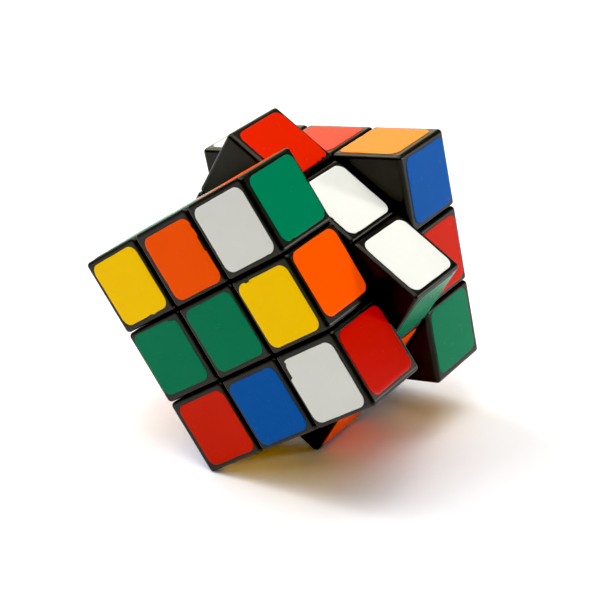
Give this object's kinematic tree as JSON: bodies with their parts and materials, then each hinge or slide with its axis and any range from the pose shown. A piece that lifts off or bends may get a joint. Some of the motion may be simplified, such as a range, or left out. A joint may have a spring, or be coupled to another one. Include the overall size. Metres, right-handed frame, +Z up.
{
  "type": "twisty puzzle cube",
  "caption": "Twist puzzle cube of black plastic cubies with coloured square stickers; front and back layers turn about the core, shown part-twisted and lying on two edges.",
  "frame": {"origin": "middle of the core, where the six screw axes cross; the whole puzzle balances about this point", "axes": "+Y along the axis the three layers are twisted about, from the front layer to the back layer; +Z up as the puzzle lies on the lower edges of its front and middle layers; +X to the right seen from the front"},
  "size_m": [0.078, 0.0572, 0.078],
  "materials": {
    "black_plastic": "moulded black plastic, semi-gloss, fine handling scratches",
    "foot_plastic": "moulded black plastic, polished by rubbing",
    "core_plastic": "moulded off-white plastic",
    "screw_steel": "zinc-plated steel",
    "washer_steel": "plain steel",
    "spring_steel": "spring steel wire",
    "sticker_white": "thin glossy white vinyl",
    "sticker_yellow": "thin glossy yellow vinyl",
    "sticker_green": "thin glossy green vinyl",
    "sticker_blue": "thin glossy blue vinyl",
    "sticker_red": "thin glossy red vinyl",
    "sticker_orange": "thin glossy orange vinyl"
  },
  "bodies": {
    "middle_slice": {"core_screws": "screw_steel", "core_spider": "core_plastic", "core_springs": "spring_steel", "core_washers": "washer_steel", "middle_blue_stickers": "sticker_blue", "middle_bottom_centre": "black_plastic", "middle_bottom_centre_cap": "black_plastic", "middle_bottom_left_edge": "black_plastic", "middle_bottom_right_edge": "black_plastic", "middle_edge_feet": "foot_plastic", "middle_green_stickers": "sticker_green", "middle_left_centre": "black_plastic", "middle_left_centre_cap": "black_plastic", "middle_orange_stickers": "sticker_orange", "middle_red_stickers": "sticker_red", "middle_right_centre": "black_plastic", "middle_right_centre_cap": "black_plastic", "middle_top_centre": "black_plastic", "middle_top_centre_cap": "black_plastic", "middle_top_left_edge": "black_plastic", "middle_top_right_edge": "black_plastic", "middle_white_stickers": "sticker_white", "middle_yellow_stickers": "sticker_yellow"},
    "front_layer": {"front_blue_stickers": "sticker_blue", "front_bottom_edge": "black_plastic", "front_bottom_left_corner": "black_plastic", "front_bottom_right_corner": "black_plastic", "front_centre": "black_plastic", "front_centre_cap": "black_plastic", "front_corner_feet": "foot_plastic", "front_edge_feet": "foot_plastic", "front_green_stickers": "sticker_green", "front_left_edge": "black_plastic", "front_orange_stickers": "sticker_orange", "front_red_stickers": "sticker_red", "front_right_edge": "black_plastic", "front_top_edge": "black_plastic", "front_top_left_corner": "black_plastic", "front_top_right_corner": "black_plastic", "front_white_stickers": "sticker_white", "front_yellow_stickers": "sticker_yellow"},
    "back_layer": {"back_blue_stickers": "sticker_blue", "back_bottom_edge": "black_plastic", "back_bottom_left_corner": "black_plastic", "back_bottom_right_corner": "black_plastic", "back_centre": "black_plastic", "back_centre_cap": "black_plastic", "back_corner_feet": "foot_plastic", "back_edge_feet": "foot_plastic", "back_green_stickers": "sticker_green", "back_left_edge": "black_plastic", "back_orange_stickers": "sticker_orange", "back_red_stickers": "sticker_red", "back_right_edge": "black_plastic", "back_top_edge": "black_plastic", "back_top_left_corner": "black_plastic", "back_top_right_corner": "black_plastic", "back_white_stickers": "sticker_white", "back_yellow_stickers": "sticker_yellow"}
  },
  "joints": [
    {"name": "front_turn", "type": "hinge", "parent": "middle_slice", "child": "front_layer", "pos_m": [0, 0, 0], "axis": [0, 1, 0], "continuous": true},
    {"name": "back_turn", "type": "hinge", "parent": "middle_slice", "child": "back_layer", "pos_m": [0, 0, 0], "axis": [0, 1, 0], "continuous": true}
  ]
}
